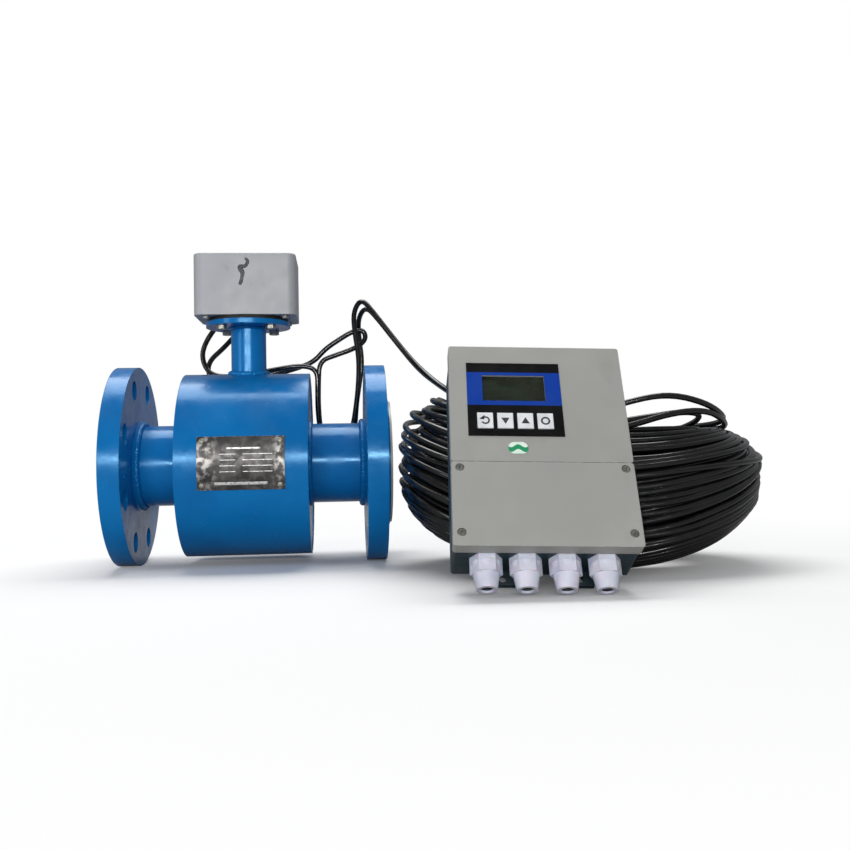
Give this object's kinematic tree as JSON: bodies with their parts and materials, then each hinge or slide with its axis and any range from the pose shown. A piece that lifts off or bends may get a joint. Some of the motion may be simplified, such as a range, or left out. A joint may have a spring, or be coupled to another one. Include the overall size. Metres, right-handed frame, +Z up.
{
  "type": "electromagnetic flow meter",
  "caption": "Flanged pipe sensor with a junction box on its neck, a leaning wall-mount display unit with keys and cable glands, and a coil of connecting cable.",
  "frame": {"origin": "middle of the flow bore, halfway between the two sealing faces", "axes": "+X along the flow bore towards the display unit, +Y away from the display side, +Z up through the neck"},
  "size_m": [0.561, 0.3762, 0.2795],
  "materials": {
    "blue_paint": "gloss enamel",
    "stainless": "turned",
    "liner_white": "fluoropolymer",
    "box_grey": "satin powder coat",
    "zinc_screw": "zinc plated",
    "soft_iron": "bare",
    "winding": "enamelled wire",
    "black_rubber": "matt",
    "plate_metal": "etched plate",
    "black_plastic": "matt",
    "case_grey": "satin powder coat",
    "case_teal": "satin powder coat",
    "window": "clear",
    "lcd_dark": "display",
    "key_white": "membrane",
    "board_green": "solder mask",
    "gland_white": "nylon",
    "label_green": "printed label",
    "cable_black": "satin sheath"
  },
  "bodies": {
    "meter": {"board_posts": "zinc_screw", "box_base": "box_grey", "box_gland_bodies": "black_plastic", "box_gland_caps": "black_plastic", "box_gland_seals": "black_rubber", "box_hood": "box_grey", "box_screws": "zinc_screw", "box_terminals": "black_plastic", "cable_coil": "cable_black", "case_seal": "black_rubber", "coil_lower": "winding", "coil_upper": "winding", "converter_base": "case_teal", "converter_front": "case_grey", "cover_screws": "zinc_screw", "display_board": "board_green", "display_overlay": "black_plastic", "display_screws": "zinc_screw", "display_window": "window", "electrode_bushes": "liner_white", "electrode_nuts": "stainless", "electrodes": "stainless", "excitation_cable": "cable_black", "flux_band": "soft_iron", "gland_bodies": "gland_white", "gland_caps": "gland_white", "gland_locknuts": "gland_white", "gland_seals": "black_rubber", "housing_plate_inlet": "blue_paint", "housing_plate_outlet": "blue_paint", "housing_shell": "blue_paint", "inlet_flange": "blue_paint", "lcd_module": "lcd_dark", "liner": "liner_white", "main_board": "board_green", "measuring_tube": "blue_paint", "nameplate": "plate_metal", "nameplate_rivets": "zinc_screw", "neck_bolts": "zinc_screw", "neck_gasket": "black_rubber", "neck_plate": "blue_paint", "neck_tube": "blue_paint", "outlet_flange": "blue_paint", "oval_label": "label_green", "pole_lower": "soft_iron", "pole_upper": "soft_iron", "power_supply": "black_plastic", "sensor_leads": "cable_black", "signal_cable": "cable_black", "terminal_cover": "case_grey", "terminal_strip": "board_green"},
    "key_cycle_pad": {"key_cycle": "key_white"},
    "key_down_pad": {"key_down": "key_white"},
    "key_up_pad": {"key_up": "key_white"},
    "key_enter_pad": {"key_enter": "key_white"}
  },
  "joints": [
    {"name": "key_cycle_press", "type": "slide", "parent": "meter", "child": "key_cycle_pad", "axis": [0.0316, 0.8628, -0.5045], "range_m": [0, 0.0006], "stiffness_N_per_m": 2000},
    {"name": "key_down_press", "type": "slide", "parent": "meter", "child": "key_down_pad", "axis": [0.0316, 0.8628, -0.5045], "range_m": [0, 0.0006], "stiffness_N_per_m": 2000},
    {"name": "key_up_press", "type": "slide", "parent": "meter", "child": "key_up_pad", "axis": [0.0316, 0.8628, -0.5045], "range_m": [0, 0.0006], "stiffness_N_per_m": 2000},
    {"name": "key_enter_press", "type": "slide", "parent": "meter", "child": "key_enter_pad", "axis": [0.0316, 0.8628, -0.5045], "range_m": [0, 0.0006], "stiffness_N_per_m": 2000}
  ]
}
